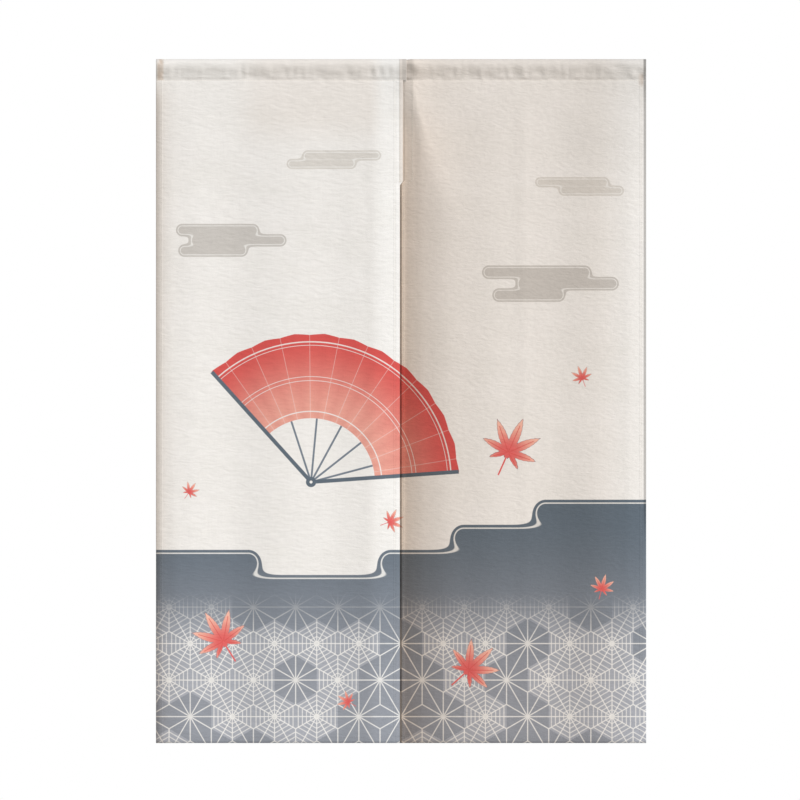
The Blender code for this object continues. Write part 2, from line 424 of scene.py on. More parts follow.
# The print's colours, and its shapes in millimetres
PRINT_SOFTNESS = 0.5
WHITE = "ECEBE8"
RED = "D4443F"
DEEP_RED = "B93A3C"
SALMON = "E7A292"
CORAL = "DE5A58"
PEACH = "F2B9A5"
LEAF_OUTLINE = "8D6F76"
DARK_SLATE = "52616F"
SLATE = "6A7684"
GREY_SLATE = "8C919B"
LILAC = "B4B7C0"
MIST_GREY = "C6C2BD"
MIST_PALE = "D6D2CC"

# Bars: x and drop of the middle, half length and radius
MIST = (
    (MIST_GREY, ((-322, 300, 62, 11), (-286, 318, 74, 11), (-330, 336, 50, 11))),
    (MIST_GREY, ((238, 374, 84, 12), (292, 394, 78, 12), (224, 414, 52, 12))),
    (MIST_PALE, ((300, 216, 56, 9), (334, 231, 48, 9))),
    (MIST_PALE, ((-104, 169, 60, 9), (-140, 184, 52, 9))),
)
MIST_LINE_IN = 3.6
MIST_FILLET = 18
MIST_LINE = 1.5
MIST_LINE_STRENGTH = 0.8

FAN_PIVOT = (-158, 742)
FAN_TURN = 22
FAN_HALF_OPEN = 64
FAN_RADIUS = 258
FAN_LEAF_FROM = 112
FAN_PLEATS = 11
FAN_SCALLOP = 3
FAN_PLEAT_SHADE = 0.16
FAN_RIB = 1.7
FAN_GUARD = 3.4
FAN_GUARD_PAST = 2
FAN_PIVOT_SIZE = 9
FAN_PIN = 2.6
FAN_LINES = ((246, 2.2), (240, 1), (124, 2), (185, 1), (178, 1))
FAN_LINE_STRENGTH = 0.85
FAN_FOLD_LINE = 0.5
FAN_FOLD_STRENGTH = 0.35

GROUND_TOP = 905
GROUND_BARS = (
    (-372, 883, 104, 22),
    (250, 883, 268, 22),
    (300, 839, 190, 22),
    (372, 795, 118, 22),
)
GROUND_LINE_IN = 6
GROUND_LINE = 2.2
GROUND_LINE_STRENGTH = 0.85
GROUND_FILLET = 48
GROUND_SHADES_OVER = (780, 1130)
HEMP_PITCH = 74
HEMP_LINE = 1.9
HEMP_LINE_STRENGTH = 0.85
HEMP_FADES_OVER = (930, 1040)
HEMP_PALE_ABOVE = 0.45
HEMP_PALE = 0.55
HEMP_RING_STEP = 7.2
HEMP_RING_LINE = 0.9
HEMP_RING_STRENGTH = 0.7

# Parts of a maple leaf. The teeth, rim, vein and stem are shares of its size.
LOBE_SPACING = 0.74
LOBE_SHORTENS = 0.052
LOBE_NOTCH = 0.34
LOBE_POINTED = 1.25
TOOTH_PITCH = 0.03
TOOTH_DEPTH = 0.9
LEAF_RIM = 0.014
LEAF_PALES_OVER = (0.05, 0.46)
VEIN = 0.006
VEIN_REACH = 0.40
LAST_VEIN = 3.4
VEIN_STRENGTH = 0.75
STEM = 0.011
STEM_REACH = 0.34
# x and drop of the middle, size and turn in degrees
LEAVES = (
    (188, 690, 128, 24),
    (-312, 1022, 120, -32),
    (118, 1072, 116, 48),
    (318, 560, 46, -20),
    (-20, 812, 52, 70),
    (352, 930, 54, 15),
    (-92, 1128, 44, -60),
    (-372, 760, 40, 35),
)


def smooth(share):
    """Eases 0 to 1, and holds beyond them."""
    share = np.clip(share, 0.0, 1.0)
    return share * share * (3 - 2 * share)


def bump(distance, half_width):
    return np.exp(-((distance / half_width) ** 2))


def stops(start, runs):
    """The values from start that a table of (reach, steps) asks for."""
    values = [start]
    for reach, steps in runs:
        begin = values[-1]
        values += [begin + (reach - begin) * (k + 1) / steps for k in range(steps)]
    return np.array(values)


@functools.lru_cache
def noise_lattice(seed):
    return np.random.default_rng(seed).uniform(-1, 1, (NOISE_CELLS, NOISE_CELLS))


def soft_noise(across, down, seed):
    """Smooth random values from -1 to 1 on a lattice of unit steps."""
    lattice = noise_lattice(seed)
    i, j = np.floor(across).astype(int), np.floor(down).astype(int)
    s, t = across - i, down - j
    s = s * s * s * (s * (s * 6 - 15) + 10)
    t = t * t * t * (t * (t * 6 - 15) + 10)

    def corner(di, dj):
        return lattice[(i + di) % NOISE_CELLS, (j + dj) % NOISE_CELLS]

    upper = corner(0, 0) * (1 - s) + corner(1, 0) * s
    lower = corner(0, 1) * (1 - s) + corner(1, 1) * s
    return upper * (1 - t) + lower * t


def slit(drop, column):
    """Reads one column of SLIT_EDGES at any drop."""
    value = np.full(np.shape(drop), SLIT_EDGES[-1][column])
    for above, below in zip(SLIT_EDGES[-2::-1], SLIT_EDGES[:0:-1]):
        share = smooth((drop - above[0]) / (below[0] - above[0]))
        here = above[column] + share * (below[column] - above[column])
        value = np.where(drop <= below[0], here, value)
    return value


def valley(side, x, drop):
    """How far back the cloth lies because its slit edge does."""
    if side == "left":
        off = np.maximum(slit(drop, LEFT_EDGE_X) - x, 0.0)
        return slit(drop, LEFT_BACK) * np.exp(-off / LEFT_VALLEY_REACH)
    bend_x = slit(drop, RIGHT_BEND_X)
    off = np.maximum(x - bend_x, 0.0)
    near = RIGHT_NEAR_SHARE * np.exp(-off / RIGHT_VALLEY_NEAR)
    far = (1 - RIGHT_NEAR_SHARE) * np.exp(-off / RIGHT_VALLEY_FAR)
    tuck = slit(drop, RIGHT_TUCK) * smooth((bend_x - x) / TUCK_SPAN)
    return slit(drop, RIGHT_BACK) * (near + far) + tuck


def broad_form(side, x, drop):
    """How far behind the rod's plane the cloth lies in its broad folds, as in the part."""
    started = smooth((drop - HEADING) / FOLDS_START_OVER)
    down = (drop - HEADING) / (DROP - HEADING)
    depth = valley(side, x, drop)
    for fold_x, half_width, top, bottom, drift in FOLDS[side]:
        forward = top + (bottom - top) * down
        depth = depth - started * forward * bump(x - fold_x - drift * down, half_width)
    from_side = np.maximum(HALF_WIDTH - np.abs(x), 0.0)
    curl = SIDE_CURL * (SIDE_CURL_AT_TOP + (1 - SIDE_CURL_AT_TOP) * started)
    depth = depth + curl * np.exp(-from_side / SIDE_CURL_REACH)
    low = np.maximum(drop - (DROP - KICK_HEIGHT), 0.0) / KICK_HEIGHT
    return depth - KICK * low * low


def creases(side, x, drop):
    """The wrinkles and the main creases, as a height to the front."""
    height = np.zeros(np.broadcast(x, drop).shape)
    for across, down, amount, seed in WRINKLES:
        height = height + amount * soft_noise(x / across + seed, drop / down, seed)
    for crease_x, crease_drop, half_length, half_width, amount, turn in CREASES[side]:
        cos, sin = math.cos(math.radians(turn)), math.sin(math.radians(turn))
        along = (x - crease_x) * cos + (drop - crease_drop) * sin
        across = (drop - crease_drop) * cos - (x - crease_x) * sin
        height = height + amount * bump(along, half_length) * bump(across, half_width)
    fold_drops, fold_xs, fold_heights = zip(*SLIT_FOLDS[side])
    beyond = x - np.interp(drop, fold_drops, fold_xs)
    to_slit, from_slit = FOLD_REACH[side]
    near_slit = beyond > 0 if side == "left" else beyond < 0
    reach = np.where(near_slit, to_slit, from_slit)
    crisp = np.exp((FOLD_ROUND - np.sqrt(beyond**2 + FOLD_ROUND**2)) / reach)
    height = height + np.interp(drop, fold_drops, fold_heights) * crisp
    across, down, seed = PULLS
    below = np.exp(-np.maximum(drop - HEADING, 0.0) / PULLS_REACH)
    pulls = soft_noise(x / across, drop / down, seed) * below
    return height * smooth((drop - HEADING) / CREASES_START_OVER) + PULLS_HEIGHT * pulls


def middle_depth(side, x, drop):
    return broad_form(side, x, drop) - creases(side, x, drop)


def panel_x(side, off, drop):
    """Where a distance off the slit edge lies along X."""
    if side == "left":
        edge, outer = slit(drop, LEFT_EDGE_X), -HALF_WIDTH
    else:
        edge, outer = slit(drop, RIGHT_EDGE_X), HALF_WIDTH
    return edge + (outer - edge) * off / HALF_WIDTH


def slit_hem_stitch(side, drop):
    """How far off the slit edge its hem is stitched."""
    sewn, below = SLIT_HEM_STITCH[side]
    return sewn + (below - sewn) * smooth((drop - SLIT_HEM_NARROWS_AT) / SLIT_HEM_NARROWS_OVER)


def stretched(side, off, drop):
    """Moves the grid's columns so that the slit hem's columns keep to its stitches."""
    wider = slit_hem_stitch(side, drop) - SIDE_STITCH
    near = np.clip((off - SEAM_STITCH) / (SIDE_STITCH - SEAM_STITCH), 0.0, 1.0)
    start, end = STRETCH_ENDS_OVER
    return off + wider * near * (1 - smooth((off - start) / (end - start)))


def hem_share(side, off, drop):
    """1 in a hem, 0 in the single cloth, easing over its inner edge."""
    slit_hem = slit_hem_stitch(side, drop) + SIDE_HEM - SIDE_STITCH
    into = np.maximum((slit_hem + HEM_STEP - off), (off - (HALF_WIDTH - SIDE_HEM - HEM_STEP)))
    into = np.maximum(into, drop - (DROP - BOTTOM_HEM - HEM_STEP))
    return np.clip(into / HEM_STEP, 0.0, 1.0)


def grooves(side, off, drop):
    """How far the rows of stitches pull the front face in."""
    depth = bump(off - slit_hem_stitch(side, drop), GROOVE_HALF_WIDTH)
    depth = depth + bump(off - (HALF_WIDTH - SIDE_STITCH), GROOVE_HALF_WIDTH)
    depth = depth + bump(drop - (DROP - BOTTOM_STITCH), GROOVE_HALF_WIDTH)
    sewn = smooth((SEWN_TO + 1.0 - drop) / 2.0)
    if side == "left":
        depth = depth + sewn * bump(off - SEAM_STITCH, GROOVE_HALF_WIDTH)
    depth = depth + POCKET_GROOVE * bump(drop - POCKET_STITCH, GROOVE_HALF_WIDTH)
    return GROOVE_DEPTH * np.minimum(depth, POCKET_GROOVE)


def cloth_point(side, off, drop, facing, closing=1.0):
    """A point on the sheet: facing is 1 on the front, -1 on the back, 0 midway."""
    off, drop = np.broadcast_arrays(np.asarray(off, float), np.asarray(drop, float))
    x = panel_x(side, off, drop)
    y = middle_depth(side, x, drop)
    step = 0.4
    slope = (middle_depth(side, x + step, drop) - middle_depth(side, x - step, drop)) / (2 * step)
    hem = hem_share(side, off, drop)
    soft_hem = smooth(hem)
    front = CLOTH_FRONT + (HEM_FRONT - CLOTH_FRONT) * soft_hem - grooves(side, off, drop)
    rear = CLOTH_REAR + (HEM_REAR - CLOTH_REAR) * hem
    offset = (front - rear) / 2 + (front + rear) / 2 * facing * closing
    length = np.sqrt(1 + slope**2)
    return np.stack((x + slope / length * offset, y - offset / length, -drop), -1)


def joined_mesh(name, points, faces, flat, materials, face_materials=None):
    """Makes an object of points in millimetres, four-sided faces and a flat layout."""
    mesh = bpy.data.meshes.new(name)
    mesh.vertices.add(len(points))
    mesh.vertices.foreach_set("co", (points * MM).ravel())
    mesh.loops.add(faces.size)
    mesh.loops.foreach_set("vertex_index", faces.ravel())
    mesh.polygons.add(len(faces))
    mesh.polygons.foreach_set("loop_start", np.arange(0, faces.size, faces.shape[1]))
    if face_materials is not None:
        mesh.polygons.foreach_set("material_index", face_materials)
    mesh.update(calc_edges=True)
    layer = mesh.uv_layers.new(name="flat")
    layer.data.foreach_set("uv", (flat[faces.ravel()] * MM).ravel())
    for material in materials:
        mesh.materials.append(material)
    mesh.shade_smooth()
    mesh.set_sharp_from_angle(angle=math.radians(60))
    made = bpy.data.objects.new(name, mesh)
    bpy.context.scene.collection.objects.link(made)
    return made


def grid_faces(rows, columns, closed):
    """Four-sided faces between rows of points, each row a closed ring or an open line."""
    number = np.arange(rows * columns).reshape(rows, columns)
    if closed:
        number = np.concatenate((number, number[:, :1]), 1)
    upper, lower = number[:-1], number[1:]
    return np.stack((upper[:, :-1], lower[:, :-1], lower[:, 1:], upper[:, 1:]), -1)


def end_faces(number, count, skipped=0):
    """Faces over the first and the last ring, between its first count points and its last."""
    made = []
    for row in (number[0], number[-1]):
        one, two = row[:count], row[count + skipped :][:count][::-1]
        made.append(np.stack((one[:-1], one[1:], two[1:], two[:-1]), -1))
    made[1] = made[1][:, ::-1]
    return made


def panel(side, front_cloth, rear_cloth):
    """One length of hemmed cloth, as a closed sheet of rings from the pocket down."""
    offs = stops(EDGE_ROUND, COLUMNS)
    angles = np.radians(ARC_DEGREES)
    half = EDGE_ROUND
    outer_arc = HALF_WIDTH - half + half * np.cos(angles)
    inner_arc = half - half * np.cos(angles)
    turned = half * (math.pi / 2 - angles)
    hem_back = offs[::-1] > HALF_WIDTH - SIDE_HEM - 0.01
    slit_back = offs[::-1] < SIDE_HEM + 0.01
    print_back = np.where(hem_back, 2 * HALF_WIDTH - offs[::-1], offs[::-1])
    print_back = np.where(slit_back, -offs[::-1], print_back)
    off = np.concatenate((offs, outer_arc, offs[::-1], inner_arc[::-1]))
    ones = np.ones(len(offs))
    facing = np.concatenate((ones, np.sin(angles), -ones, np.sin(angles[::-1])))
    printed = np.concatenate((offs, HALF_WIDTH - half + turned, print_back, (half - turned)[::-1]))
    reverse = np.zeros(len(off), bool)
    reverse[len(offs) + len(angles) :][: len(offs)] = ~(hem_back | slit_back)

    drops = stops(POCKET_STITCH, ROWS)
    closing_angles = np.radians(CLOSING_DEGREES)
    ends = DROP - EDGE_ROUND + EDGE_ROUND * np.sin(closing_angles)
    closing = np.concatenate((np.ones(len(drops)), np.cos(closing_angles)))[:, None]
    drop = np.concatenate((drops, ends))[:, None]

    wide_off = stretched(side, off[None, :], drop)
    points = cloth_point(side, wide_off, drop, facing[None, :], closing)
    rows, columns = points.shape[:2]
    faces = grid_faces(rows, columns, closed=True)
    in_bottom_hem = drop[:, 0] > DROP - BOTTOM_HEM - 0.01
    is_reverse = reverse[None, :] & ~in_bottom_hem[:, None]
    following = np.roll(is_reverse, -1, 1)
    face_reverse = is_reverse[:-1] & is_reverse[1:] & following[:-1] & following[1:]

    way = np.where((facing < 0) & ~reverse, -1, 1)
    print_off = printed[None, :] + (wide_off - off[None, :]) * way
    flat_x = panel_x(side, print_off, drop)
    turned_up = (facing[None, :] < 0) & in_bottom_hem[:, None]
    flat_drop = np.where(turned_up, 2 * DROP - drop, drop)
    flat = np.stack((flat_x, flat_drop), -1)

    number = np.arange(rows * columns).reshape(rows, columns)
    caps = end_faces(number, len(offs), len(angles))
    all_faces = np.concatenate((faces.reshape(-1, 4), *caps))
    if side == "left":
        all_faces = all_faces[:, ::-1]
    indices = np.concatenate((face_reverse.ravel(), np.zeros(sum(len(cap) for cap in caps), bool)))
    return joined_mesh(
        "cloth_" + side,
        points.reshape(-1, 3),
        all_faces,
        flat.reshape(-1, 2),
        (front_cloth, rear_cloth),
        indices.astype(np.int32),
    )


def pocket_profile(radius, top):
    """(half depth, drop) down one side of the pocket, as in the part but finer."""
    angle = np.linspace(0, math.pi / 2, POCKET_ARC_STEPS + 1)
    arc = np.stack((radius * np.sin(angle), top + radius * (1 - np.cos(angle))), -1)
    share = np.linspace(0, 1, POCKET_TAPER_STEPS + 1)[1:]
    half = POCKET_TIP + (radius - POCKET_TIP) * (0.5 + 0.5 * np.cos(math.pi * share))
    taper = np.stack((half, top + radius + (POCKET_STITCH - top - radius) * share), -1)
    return np.concatenate((arc, taper))


def uneven(x, drop, across, down, seed, full_at, height):
    """Soft waves in the pocket, which grow from its top down."""
    waves = soft_noise(x / across + 0 * drop, drop / down, seed)
    return height * (waves * smooth(drop / full_at))


def pocket_ring(side, x):
    """The pocket's outer face at x: points from the stitches up the front and down the back."""
    inset = 0.0
    if side == "right":
        beyond = (x - LEFT_SLEEVE_END) / RIGHT_SLEEVE_PINCH_REACH
        inset = RIGHT_SLEEVE_PINCH * (1 - float(smooth(beyond)))
    profile = pocket_profile(POCKET_RADIUS - inset, inset)
    half, drop = profile[:, 0], profile[:, 1]
    foot = float(broad_form(side, np.array(x), np.array(HEADING)))
    if side == "right":
        own = float(smooth((x - LEFT_SLEEVE_END) / RIGHT_SLEEVE_LEAN_REACH))
        foot = foot * own + float(broad_form("left", np.array(0.0), np.array(HEADING))) * (1 - own)
    lean = foot * smooth((drop - POCKET_RADIUS) / (HEADING - POCKET_RADIUS))
    front_y = lean - half
    for pucker_x, half_width, depth, pucker_drop, half_height in PUCKERS[side]:
        pucker = depth * bump(x - pucker_x, half_width)
        front_y = front_y + pucker * bump(drop - pucker_drop, half_height)
    front_y = front_y + uneven(x, drop, *GATHERS) + uneven(x, drop, *CRUMPLE)
    rear_y = lean + half * POCKET_BACK_SHARE + uneven(x, drop, *REAR_CRUMPLE)
    edge = slit(np.array(POCKET_STITCH), LEFT_EDGE_X if side == "left" else RIGHT_EDGE_X)
    outer = -HALF_WIDTH if side == "left" else HALF_WIDTH
    off = np.clip((x - edge) / (outer - edge) * HALF_WIDTH, 0.0, HALF_WIDTH)
    join_front = cloth_point(side, off, POCKET_STITCH, 1.0)[1]
    join_rear = cloth_point(side, off, POCKET_STITCH, -1.0)[1] + POCKET_CLOTH + 0.05
    near = smooth((drop - (POCKET_STITCH - POCKET_BLEND)) / POCKET_BLEND)
    front_y = front_y * (1 - near) + join_front * near
    rear_y = rear_y * (1 - near) + join_rear * near
    reach, mouth_drop, half_height, curl = MOUTHS[side]
    curl = curl * math.exp((abs(x) - HALF_WIDTH) / MOUTH_CURL_REACH)
    front_y = front_y + curl * smooth(drop / MOUTH_CURL_FULL) * (1 - near)
    at_mouth = smooth(1 - (HALF_WIDTH - abs(x)) / MOUTH_REACH)
    drawn = reach * bump(drop - mouth_drop, half_height) * at_mouth
    front = np.stack((x + drawn, front_y, -drop), -1)
    rear = np.stack((np.full(len(drop), x), rear_y, -drop), -1)
    lip = np.array([(x, join_rear, -POCKET_LIP)])
    return np.concatenate((front[::-1], rear[1:], lip))


def pocket(side, cloth):
    """Half of the rod pocket: cloth folded over and stitched down, open at both ends."""
    if side == "left":
        start, end = -HALF_WIDTH, LEFT_SLEEVE_END
    else:
        start, end = RIGHT_SLEEVE_START, HALF_WIDTH
    closing_angles = np.radians((85.0, 60.0, 30.0))
    arc = EDGE_ROUND * (1 - np.sin(closing_angles))
    count = round((end - start) / POCKET_SPACING)
    inner_places = np.linspace(start + EDGE_ROUND, end - EDGE_ROUND, count)
    places = np.concatenate((start + arc, inner_places, (end - arc)[::-1]))
    closing = np.concatenate((np.cos(closing_angles), np.ones(count), np.cos(closing_angles)[::-1]))
    outlines, lengths = [], []
    for x, close in zip(places, closing):
        outer = pocket_ring(side, x)
        run = np.gradient(outer[:, 1:], axis=0)
        run /= np.linalg.norm(run, axis=1)[:, None]
        inward = np.stack((np.zeros(len(run)), -run[:, 1], run[:, 0]), -1) * -1
        from_mouth = HALF_WIDTH - abs(x)
        hem = float(smooth((SIDE_HEM + HEM_STEP - from_mouth) / HEM_STEP))
        thick = POCKET_CLOTH + (POCKET_HEM_CLOTH - POCKET_CLOTH) * hem
        inner = outer + inward * thick
        middle = (outer + inner) / 2
        front, rear = (middle + (face - middle) * close for face in (outer, inner))
        outlines.append(np.concatenate((front, rear[::-1])))
        steps = np.linalg.norm(np.diff(outer[:, 1:], axis=0), axis=1)
        length = np.concatenate(((0.0,), np.cumsum(steps)))
        lengths.append(np.concatenate((length, length[::-1])))
    points = np.stack(outlines)
    flat = np.stack((points[:, :, 0], POCKET_STITCH - np.stack(lengths)), -1)
    rows, columns = points.shape[:2]
    faces = grid_faces(rows, columns, closed=True).reshape(-1, 4)
    number = np.arange(rows * columns).reshape(rows, columns)
    all_faces = np.concatenate((faces, *end_faces(number, columns // 2)))
    points, flat = points.reshape(-1, 3), flat.reshape(-1, 2)
    return joined_mesh("pocket_" + side, points, all_faces, flat, (cloth,))


def stitches(name, runs, thread):
    """Joins many short threads. Each run holds centres, directions and the cloth's normals."""
    centres = np.concatenate([run[0] for run in runs])
    along = np.concatenate([run[1] for run in runs])
    out = np.concatenate([run[2] for run in runs])
    along /= np.linalg.norm(along, axis=1)[:, None]
    across = np.cross(along, out)
    across /= np.linalg.norm(across, axis=1)[:, None]
    out = np.cross(across, along)
    turn = 2 * math.pi * np.arange(THREAD_SIDES) / THREAD_SIDES
    points = []
    for position, share in THREAD_OUTLINE:
        for angle in turn:
            ring = across * math.cos(angle) + out * math.sin(angle)
            bow = out * THREAD_RADIUS * THREAD_BOW * (1 - position * position)
            place = centres + along * position * STITCH_LENGTH / 2
            points.append(place + bow + ring * THREAD_RADIUS * share)
    points = np.stack(points, 1)
    per_stitch = points.shape[1]
    faces = grid_faces(len(THREAD_OUTLINE), THREAD_SIDES, closed=True).reshape(-1, 4)
    last = per_stitch - THREAD_SIDES
    ends = [(0, 1, 2, 3), (0, 3, 4, 5)]
    ends += [tuple(last + k for k in reversed(end)) for end in ends]
    faces = np.concatenate((faces, ends))
    all_faces = (np.arange(len(centres)) * per_stitch)[:, None, None] + faces[None]
    flat = points.reshape(-1, 3)[:, ::2] * (1, -1)
    return joined_mesh(name, points.reshape(-1, 3), all_faces.reshape(-1, 4), flat, (thread,))


def run_of_stitches(side, off, drop, facing):
    """Stitches on a panel's face, at places given by off and drop."""
    here = cloth_point(side, off, drop, facing)
    step = 0.5
    x_way = cloth_point(side, off + step, drop, facing) - cloth_point(side, off - step, drop, facing)
    z_way = cloth_point(side, off, drop + step, facing) - cloth_point(side, off, drop - step, facing)
    normal = np.cross(x_way, z_way)
    normal /= np.linalg.norm(normal, axis=1)[:, None]
    normal = np.where(normal[:, 1:2] * facing > 0, -normal, normal)
    return here, x_way, z_way, normal


def line_of_stitches(side, off, drop, facing, direction):
    """One row of stitches: direction is "across" or "down"."""
    here, x_way, z_way, normal = run_of_stitches(side, off, drop, facing)
    sunk = here - normal * THREAD_SUNK
    return sunk, x_way if direction == "across" else z_way, normal


def all_stitches(side, thread):
    """The hem, seam and pocket stitches of one panel, on both of its faces."""
    runs = []
    down = np.arange(DOWN_FROM, DROP - ROWS_END_BEFORE, STITCH_PITCH)
    across = np.arange(ACROSS_FROM, HALF_WIDTH - ROWS_END_BEFORE, STITCH_PITCH)
    for facing in (1.0, -1.0):
        for off in (slit_hem_stitch(side, down), HALF_WIDTH - SIDE_STITCH):
            runs.append(line_of_stitches(side, off, down, facing, "down"))
        runs.append(line_of_stitches(side, across, DROP - BOTTOM_STITCH, facing, "across"))
        if (side == "left") == (facing > 0):
            sewn = down[down < SEWN_TO]
            runs.append(line_of_stitches(side, SEAM_ROW[side], sewn, facing, "down"))
    across = np.arange(POCKET_ROW_FROM[side], HALF_WIDTH - POCKET_ROW_ENDS_BEFORE, STITCH_PITCH)
    front_drop, rear_drop = POCKET_ROW_DROPS
    runs.append(line_of_stitches(side, across, front_drop, 1.0, "across"))
    sunk, way, normal = line_of_stitches(side, across, rear_drop, -1.0, "across")
    runs.append((sunk + (0.0, POCKET_ROW_BACK, 0.0), way, normal))
    if side == "left":
        off = np.linspace(*TACK_SPAN, TACK_STITCHES)
        here, x_way, z_way, normal = run_of_stitches(side, off, SEWN_TO - TACK_UP, 1.0)
        lean = np.where(np.arange(TACK_STITCHES) % 2, TACK_LEAN, -TACK_LEAN)[:, None]
        runs.append((here, z_way + x_way * lean, normal))
    return stitches("stitches_" + side, runs, thread)


class Number:
    """A number in a material's node tree. Arithmetic on it adds Math nodes."""

    def __init__(self, tree, socket):
        self.tree = tree
        self.socket = socket

    def __add__(self, other):
        return calc("ADD", self, other)

    def __sub__(self, other):
        return calc("SUBTRACT", self, other)

    def __rsub__(self, other):
        return calc("SUBTRACT", other, self)

    def __mul__(self, other):
        return calc("MULTIPLY", self, other)

    def __truediv__(self, other):
        return calc("DIVIDE", self, other)

    def __abs__(self):
        return calc("ABSOLUTE", self)

    __radd__ = __add__
    __rmul__ = __mul__


def feed(tree, socket, value):
    """Links a Number or another node's socket, or sets a value or a colour's code."""
    if isinstance(value, Number):
        tree.links.new(value.socket, socket)
    elif isinstance(value, bpy.types.NodeSocket):
        tree.links.new(value, socket)
    elif isinstance(value, str):
        socket.default_value = hex_colour(value)
    else:
        socket.default_value = value


def calc(operation, *terms, clamp=False):
    """One Math node. Its name in Blender's own list is the operation."""
    tree = next(term.tree for term in terms if isinstance(term, Number))
    node = tree.nodes.new("ShaderNodeMath")
    node.operation = operation
    node.use_clamp = clamp
    for socket, term in zip(node.inputs, terms):
        feed(tree, socket, term)
    return Number(tree, node.outputs[0])


def joined(spread, first, *others):
    """The least of several distances, with a fillet where they meet."""
    for other in others:
        first = calc("SMOOTH_MIN", first, other, spread)
    return first


def most(first, *others):
    for other in others:
        first = calc("MAXIMUM", first, other)
    return first


def vector(tree, *values):
    """A vector of two or three values."""
    node = tree.nodes.new("ShaderNodeCombineXYZ")
    for socket, value in zip(node.inputs, values):
        feed(tree, socket, value)
    return node.outputs[0]


def length_of(x, y):
    """The length of a level vector."""
    node = x.tree.nodes.new("ShaderNodeVectorMath")
    node.operation = "LENGTH"
    feed(x.tree, node.inputs[0], vector(x.tree, x, y))
    return Number(x.tree, node.outputs["Value"])


def eased(value, low, high, to_low=0.0, to_high=1.0):
    """Eases from to_low to to_high as the value goes from low to high."""
    tree = value.tree
    node = tree.nodes.new("ShaderNodeMapRange")
    node.interpolation_type = "SMOOTHSTEP"
    for socket, setting in zip(node.inputs, (value, low, high, to_low, to_high)):
        feed(tree, socket, setting)
    return Number(tree, node.outputs[0])


def inside(distance):
    """1 where a distance in millimetres is below 0, with the soft edge of printed cloth."""
    return eased(distance, PRINT_SOFTNESS, -PRINT_SOFTNESS)


def blended(tree, share, one, two, kind="MIX"):
    """A colour between two. A colour is a socket or a code."""
    node = tree.nodes.new("ShaderNodeMix")
    node.data_type = "RGBA"
    node.blend_type = kind
    feed(tree, node.inputs["Factor"], share)
    feed(tree, node.inputs[6], one)
    feed(tree, node.inputs[7], two)
    return node.outputs[2]


def noise(x, y, across, down, detail=1.0, rough=0.5, seed=0.0):
    """Noise from 0 to 1 whose grains are across by down millimetres."""
    node = x.tree.nodes.new("ShaderNodeTexNoise")
    feed(x.tree, node.inputs["Vector"], vector(x.tree, x / across, y / down, seed))
    for name, value in (("Scale", 1.0), ("Detail", detail), ("Roughness", rough)):
        node.inputs[name].default_value = value
    return Number(x.tree, node.outputs[0])


def hex_colour(code):
    """A colour as a shader takes it, from the code of the colour as it is seen."""
    seen = [int(code[k : k + 2], 16) / 255 for k in (0, 2, 4)]
    shares = [c / 12.92 if c <= 0.04045 else ((c + 0.055) / 1.055) ** 2.4 for c in seen]
    return (*shares, 1.0)


def painted(colour, distance, over, strength=1.0):
    """A colour with another over it where a distance is below 0."""
    return blended(distance.tree, inside(distance) * strength, colour, over)


def bar(x, y, middle_x, middle_y, half_length, radius):
    """The distance to a level bar with round ends, below 0 inside."""
    beyond = most(abs(x - middle_x) - half_length, 0.0)
    return length_of(beyond, y - middle_y) - radius


def mist(x, y, colour):
    """Pale bands of mist, each a few bars with round ends and a thin line inside."""
    for tone, bars in MIST:
        band = joined(MIST_FILLET, *(bar(x, y, *sizes) for sizes in bars))
        line = abs(band + MIST_LINE_IN) - MIST_LINE / 2
        colour = painted(colour, band, tone)
        colour = painted(colour, line, WHITE, MIST_LINE_STRENGTH)
    return colour


def fan(tree, x, y, colour):
    """An open folding fan: pleated leaf, bare ribs, two guards and a pivot."""
    to_x, up = x - FAN_PIVOT[0], FAN_PIVOT[1] - y
    turn = calc("ARCTAN2", to_x, up) - math.radians(FAN_TURN)
    away = length_of(to_x, up)
    half_open = math.radians(FAN_HALF_OPEN)
    pleat = half_open / FAN_PLEATS
    in_pleat = calc("PINGPONG", turn + 2 * math.pi, pleat)
    rim = away - FAN_RADIUS - in_pleat * (FAN_SCALLOP / pleat)
    past_side = (abs(turn) - half_open) * away
    leaf = most(rim, FAN_LEAF_FROM - away, past_side)
    down_leaf = eased(away, FAN_RADIUS, FAN_LEAF_FROM)
    leaf_colour = blended(tree, down_leaf, RED, SALMON)
    shade = in_pleat * (FAN_PLEAT_SHADE / pleat)
    leaf_colour = blended(tree, shade, leaf_colour, DEEP_RED)
    for at, width in FAN_LINES:
        ring = abs(away - at) - width / 2
        leaf_colour = painted(leaf_colour, ring, WHITE, FAN_LINE_STRENGTH)
    fold = in_pleat * away - FAN_FOLD_LINE
    leaf_colour = painted(leaf_colour, fold, WHITE, FAN_FOLD_STRENGTH)
    rib_turn = calc("PINGPONG", turn + 2 * math.pi + pleat, 2 * pleat)
    rib = most(rib_turn * away - FAN_RIB, away - FAN_LEAF_FROM, past_side)
    guard = most(abs(past_side) - FAN_GUARD, away - FAN_RADIUS - FAN_GUARD_PAST)
    guard = calc("MINIMUM", guard, away - FAN_PIVOT_SIZE)
    for distance, over in ((rib, SLATE), (leaf, leaf_colour), (guard, DARK_SLATE)):
        colour = painted(colour, distance, over)
    return painted(colour, away - FAN_PIN, WHITE)


